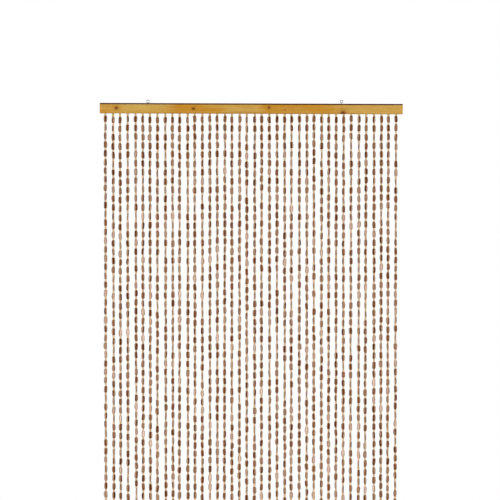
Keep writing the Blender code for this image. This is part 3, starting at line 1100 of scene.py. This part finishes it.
def eye_path(eye):
    """Centre line of the bent wire, from the shank's tip up and round the ring to its end.
    Also how many of its points are on the shank."""
    shank_top = -eye.ring / 2 - EYE_NECK
    heights = np.arange(-eye.shank_tip, shank_top, eye.thread_pitch / 8)
    shank = np.column_stack((np.zeros_like(heights), heights))
    angles = np.radians(np.linspace(*RING_DEGREES, 56))
    ring = np.column_stack((np.cos(angles), np.sin(angles))) * (eye.ring - eye.wire) / 2
    start, start_way = np.array((0.0, shank_top)), np.array((0.0, 1.0))
    finish, finish_way = ring[0], np.array((-math.sin(angles[0]), math.cos(angles[0])))
    pull = np.linalg.norm(finish - start) * BEND_PULL
    first, second = start + start_way * pull, finish - finish_way * pull
    shares = np.linspace(0, 1, 12, endpoint=False)[:, None]
    bend = (
        start * (1 - shares) ** 3
        + first * 3 * shares * (1 - shares) ** 2
        + second * 3 * shares**2 * (1 - shares)
        + finish * shares**3
    )
    way = ring[-1] - ring[-2]
    past = [share for share, _ in WIRE_TIP]
    tip = ring[-1] + np.outer(past, way / np.linalg.norm(way) * eye.wire)
    flat = np.concatenate((shank, bend, ring, tip))
    return np.insert(flat, 1, 0.0, axis=1), len(shank)


def eye_radii(eye, path, shank_count):
    """Wire radius round each point of the path, with the screw thread on the shank."""
    angles = np.arange(WIRE_SIDES) / WIRE_SIDES
    radii = np.full((len(path), WIRE_SIDES), eye.wire / 2)
    core = eye.shank / 2 - RIDGE_HEIGHT
    for station, height in enumerate(path[:shank_count, 2]):
        rise = height + eye.shank_tip
        point = min(1.0, POINT_TIP + rise / POINT_LENGTH)
        fade = min(1.0, max(0.0, (THREAD_TOP - height) / THREAD_FADE + 1.0))
        turn = (rise / eye.thread_pitch - angles) % 1.0
        crest = np.clip(1 - np.abs(turn - 0.5) * RIDGE_SHARPNESS, 0, 1)
        threaded = core * point + RIDGE_HEIGHT * crest * min(1.0, point + 0.1)
        radii[station] = threaded * fade + (eye.wire / 2) * (1 - fade)
    for station, (_, girth) in enumerate(WIRE_TIP, len(path) - len(WIRE_TIP)):
        radii[station] *= girth
    return radii


def build_screw_eyes(look):
    """Both screw eyes, each bent from a single wire."""
    eye = look.eye
    path, shank_count = eye_path(eye)
    rings = sweep(path, eye_radii(eye, path, shank_count))
    # How dark the painted shade on each ring's top is
    turns, top_shades = (eye.left_turn, eye.right_turn), (eye.left_top_shade, eye.right_top_shade)
    for node, side, turn, top_shade in zip(EYE_NODES, ("left", "right"), turns, top_shades):
        place = Matrix.Translation((eye_x(node), 0.0, 0.0)) @ Matrix.Rotation(turn, 4, "Z")
        wire = skinned_object(f"{node}_wire", [rings], 50.0, place)
        material = steel_material(look, f"plated steel wire, {side}", top_shade)
        finish_piece(wire, material, node)


def ease_below_rail(items):
    """How free each bead is of the rail above it, and how far it is out of the painted shade under
    the rail: nothing at the top, 1 a few beads down.
    """
    return 1 - np.exp(-(np.arange(len(items)) % BEADS_ON_STRAND) / BEADS_HELD)


def turns_of(look, items, draws):
    """How far each bead has turned on its thread: most face the front, some are at random.
    Those next to the rail have turned less."""
    count = len(items)
    free = HELD_TURN + (1 - HELD_TURN) * ease_below_rail(items)
    sway = draws.normal(0, look.bead.sway, count) * free
    loose = draws.random(count) < look.bead.edge_on * free
    turns = np.where(loose, draws.uniform(-math.pi, math.pi, count), sway)
    return turns + math.pi * (draws.random(count) < 0.5)


def build_beads(look):
    """Oval beads, up to nine strands in a piece."""
    bead, material = look.bead, bead_material(look)
    for name, strands, node in strand_pieces("beads", STRANDS_IN_PIECE):
        items = [item for strand in strands for item in threaded_items(look, strand)[0]]
        draws = strand_draws(look, strands[0], BEAD_DRAWS)
        turns = turns_of(look, items, draws)
        traits = (bead.bore, draws, bead.unevenness, turns, bead.lopsided)
        shape = threaded_points(items, bead_outline(look), BEAD_RINGS, *traits)
        # Painted shade under the rail: the beads nearest it get a darker tone, which fades over the
        # first few
        free = RAIL_SHADE_TONE + (1 - RAIL_SHADE_TONE) * ease_below_rail(items)
        tones = draws.beta(*BEAD_TONES, len(items)) * free
        beads = threaded_object(name, shape, BEAD_RINGS, tones)
        beads.data.shade_smooth()
        finish_piece(beads, material, node)


def build_tubes(look):
    """Tube beads between the oval ones, a piece for each node."""
    material = tube_material(look)
    for name, strands, node in strand_pieces("tubes"):
        items = [item for strand in strands for item in threaded_items(look, strand)[1]]
        draws = strand_draws(look, strands[0], TUBE_DRAWS)
        turns = draws.uniform(0, 2 * math.pi, len(items))
        traits = (look.tube.bore, draws, look.bead.unevenness * TUBE_SHAPE_STRAY, turns)
        shape = threaded_points(items, tube_outline(look), TUBE_RINGS, *traits)
        tones = draws.beta(*TUBE_TONES, len(items)) * RAW_TONE_LIMIT
        tones[::BEADS_ON_STRAND] = draws.uniform(*RAIL_TUBE_TONES, len(strands))
        tubes = threaded_object(name, shape, TUBE_RINGS, tones)
        smooth_but_edges(tubes.data, 55.0)
        finish_piece(tubes, material, node)


def knot_path(width):
    """An overhand knot pulled tight about the origin, from top to bottom."""
    turns = np.linspace(-KNOT_REACH, KNOT_REACH, 34)
    down = turns**3 - 3 * turns
    across = turns**4 - 4 * turns**2 + 2
    through = turns**5 - 10 * turns
    hold = np.clip((KNOT_REACH - np.abs(turns)) / KNOT_EASE, 0, 1)
    hold = hold * hold * (3 - 2 * hold)
    return np.column_stack((across * hold, through * hold, down)) * KNOT_UNITS * width


def thread_rings(look, strand, rail_height):
    """One thread from its knot in the groove, through its beads, to its end knot and tail."""
    rail_foot, bead_foot, tail_foot = strand.heights[[0, -2, -1]]
    groove_height = rail_foot + rail_height - GROOVE_DEPTH * TOP_KNOT_SINK
    top_knot = knot_path(look.thread.knot * TOP_KNOT_SHARE)
    top_knot += (strand.xs[0], strand.ys[0], groove_height)
    in_rail = np.linspace(top_knot[-1, 2] - BELOW_TOP_KNOT, rail_foot, 4)
    in_beads = np.linspace(rail_foot - BELOW_RAIL, bead_foot + ABOVE_END_KNOT, 12)
    middle = [(*strand_point(strand, height), height) for height in (*in_rail, *in_beads)]
    foot = strand_point(strand, bead_foot)
    knot = knot_path(look.thread.knot) + (*foot, bead_foot - END_KNOT_DROP)
    tail_heights = np.linspace(knot[-1, 2] - BELOW_END_KNOT, tail_foot, 5)
    drift = strand_draws(look, strand, TAIL_DRAWS).normal(0, TAIL_DRIFT, 2)
    shares = np.linspace(0, 1, 5)
    tail = [(*(foot + drift * share**2), height) for share, height in zip(shares, tail_heights)]
    path = np.concatenate((top_knot, middle, knot, tail))
    plies = 1 + PLY_SWELL * np.cos(np.arange(THREAD_SIDES) * math.pi)
    return sweep(path, np.full((len(path), THREAD_SIDES), look.thread.diameter / 2) * plies)


def build_threads(look):
    """Threads with their knots, a piece for each node."""
    material, rail_height = thread_material(look), batten_of("rail").height
    for name, strands, node in strand_pieces("threads"):
        sweeps = [thread_rings(look, strand, rail_height) for strand in strands]
        finish_piece(skinned_object(name, sweeps, 60.0), material, node)


# Stage


def build_floor(look):
    """Pale floor a little below the strands, so that the curtain still hangs free."""
    height = CAD_BOX[0].z - look.stage.floor_drop
    bm = bmesh.new()
    bmesh.ops.create_circle(bm, cap_ends=True, segments=128, radius=look.stage.floor_radius)
    floor = to_object("floor", bm, Matrix.Translation((0.0, 0.0, height)))
    floor.data.materials.append(floor_material(look))


def light_room(look):
    """White room: plain white to the camera, softer as light."""
    world = bpy.data.worlds.new("white room")
    bpy.context.scene.world = world
    world.use_nodes = True
    tree = world.node_tree
    tree.nodes.clear()
    felt = {"Color": (1.0, 0.99, 0.97), "Strength": look.stage.room_light}
    seen = {"Color": (1.0, 1.0, 1.0), "Strength": 1.0}
    rooms = [add_node(tree, "ShaderNodeBackground", room).outputs[0] for room in (felt, seen)]
    to_camera = add_node(tree, "ShaderNodeLightPath").outputs["Is Camera Ray"]
    mix = add_node(tree, "ShaderNodeMixShader", (to_camera, *rooms))
    add_node(tree, "ShaderNodeOutputWorld", {"Surface": mix.outputs[0]})


def aim(obj, target):
    way = Vector(target) - obj.location
    obj.rotation_euler = way.to_track_quat("-Z", "Y").to_euler()


def place_lights(look):
    """Two tall softboxes in front, a weaker one behind and one overhead. The power of each
    gives its face its share of the softboxes' brightness."""
    stage = look.stage
    side = math.sin(stage.softbox_angle) * SOFTBOX_DISTANCE
    front = -math.cos(stage.softbox_angle) * SOFTBOX_DISTANCE
    for name, place, width, height, share in (
        ("softbox_left", (-side, front, SOFTBOX_HEIGHT), 0.90, 2.6, 1.00),
        ("softbox_right", (side, front, SOFTBOX_HEIGHT), 0.90, 2.6, 1.00),
        ("softbox_back", (0.0, 3.2, 1.2), 2.4, 1.4, 0.40),
        ("softbox_top", (0.0, -0.2, 2.8), 3.4, 3.0, 0.22),
    ):
        light = bpy.data.lights.new(name, "AREA")
        light.shape = "RECTANGLE"
        light.size = width
        light.size_y = height
        light.energy = stage.softbox_light * share * math.pi * width * height
        box = add_object(name, light)
        box.location = place
        aim(box, LIT_MIDDLE)


def place_camera(look):
    stage = look.stage
    camera = bpy.data.cameras.new("camera")
    camera.sensor_width = 36.0
    camera.lens = camera.sensor_width * stage.camera_distance / stage.frame_width
    obj = add_object("camera", camera)
    target = Vector((stage.aim_x, 0.0, stage.aim_z))
    back = Vector((0.0, -math.cos(stage.pitch), math.sin(stage.pitch)))
    obj.location = target + back * stage.camera_distance
    aim(obj, target)
    obj.rotation_euler.rotate_axis("Z", stage.roll)
    bpy.context.scene.camera = obj


# Operators, one for each piece or group of like pieces


class CURTAIN_OT_rail(Operator):
    """Build the drilled pine rail"""

    bl_idname = "bead_curtain.build_rail"
    bl_label = "Rail"

    def execute(self, context):
        build_rail(context.scene.bead_curtain)
        return {"FINISHED"}


class CURTAIN_OT_cover_strip(Operator):
    """Build the dark strip along the rail's top"""

    bl_idname = "bead_curtain.build_cover_strip"
    bl_label = "Cover strip"

    def execute(self, context):
        build_cover_strip(context.scene.bead_curtain)
        return {"FINISHED"}


class CURTAIN_OT_screw_eyes(Operator):
    """Bend both screw eyes from wire"""

    bl_idname = "bead_curtain.build_screw_eyes"
    bl_label = "Screw eyes"

    def execute(self, context):
        build_screw_eyes(context.scene.bead_curtain)
        return {"FINISHED"}


class CURTAIN_OT_beads(Operator):
    """Thread the oval beads on every strand"""

    bl_idname = "bead_curtain.thread_beads"
    bl_label = "Oval beads"

    def execute(self, context):
        build_beads(context.scene.bead_curtain)
        return {"FINISHED"}


class CURTAIN_OT_tubes(Operator):
    """Thread the short tube beads between the oval ones"""

    bl_idname = "bead_curtain.thread_tubes"
    bl_label = "Tube beads"

    def execute(self, context):
        build_tubes(context.scene.bead_curtain)
        return {"FINISHED"}


class CURTAIN_OT_threads(Operator):
    """Hang the knotted threads"""

    bl_idname = "bead_curtain.hang_threads"
    bl_label = "Threads"

    def execute(self, context):
        build_threads(context.scene.bead_curtain)
        return {"FINISHED"}


class CURTAIN_OT_stage(Operator):
    """Set the floor, the lights and the camera"""

    bl_idname = "bead_curtain.set_stage"
    bl_label = "Stage"

    def execute(self, context):
        look = context.scene.bead_curtain
        context.scene.view_settings.view_transform = "Standard"
        build_floor(look)
        light_room(look)
        place_lights(look)
        place_camera(look)
        return {"FINISHED"}


class VIEW3D_PT_bead_curtain(Panel):
    bl_label = "Bead door curtain"
    bl_space_type = "VIEW_3D"
    bl_region_type = "UI"
    bl_category = "Door curtain"

    def draw(self, context):
        look = context.scene.bead_curtain
        for name, steps in PANEL_PARTS:
            box = self.layout.box()
            for step in steps:
                box.operator(step.bl_idname)
            part = getattr(look, name)
            for prop in part.bl_rna.properties:
                if prop.identifier not in ("name", "rna_type"):
                    box.prop(part, prop.identifier)


PANEL_PARTS = (
    ("rail", (CURTAIN_OT_rail, CURTAIN_OT_cover_strip)),
    ("eye", (CURTAIN_OT_screw_eyes,)),
    ("bead", (CURTAIN_OT_beads,)),
    ("tube", (CURTAIN_OT_tubes,)),
    ("thread", (CURTAIN_OT_threads,)),
    ("stage", (CURTAIN_OT_stage,)),
)

CLASSES = (
    RailLook,
    EyeLook,
    BeadLook,
    TubeLook,
    ThreadLook,
    StageLook,
    CurtainLook,
    CURTAIN_OT_rail,
    CURTAIN_OT_cover_strip,
    CURTAIN_OT_screw_eyes,
    CURTAIN_OT_beads,
    CURTAIN_OT_tubes,
    CURTAIN_OT_threads,
    CURTAIN_OT_stage,
    VIEW3D_PT_bead_curtain,
)


def register():
    for cls in CLASSES:
        bpy.utils.register_class(cls)
    bpy.types.Scene.bead_curtain = PointerProperty(
        type=CurtainLook, name="Bead curtain", description="Sizes and colours of the curtain"
    )


def unregister():
    del bpy.types.Scene.bead_curtain
    for cls in reversed(CLASSES):
        bpy.utils.unregister_class(cls)


def main():
    register()
    for _, steps in PANEL_PARTS:
        for step in steps:
            family, action = step.bl_idname.split(".")
            getattr(getattr(bpy.ops, family), action)()


if __name__ == "__main__":
    main()
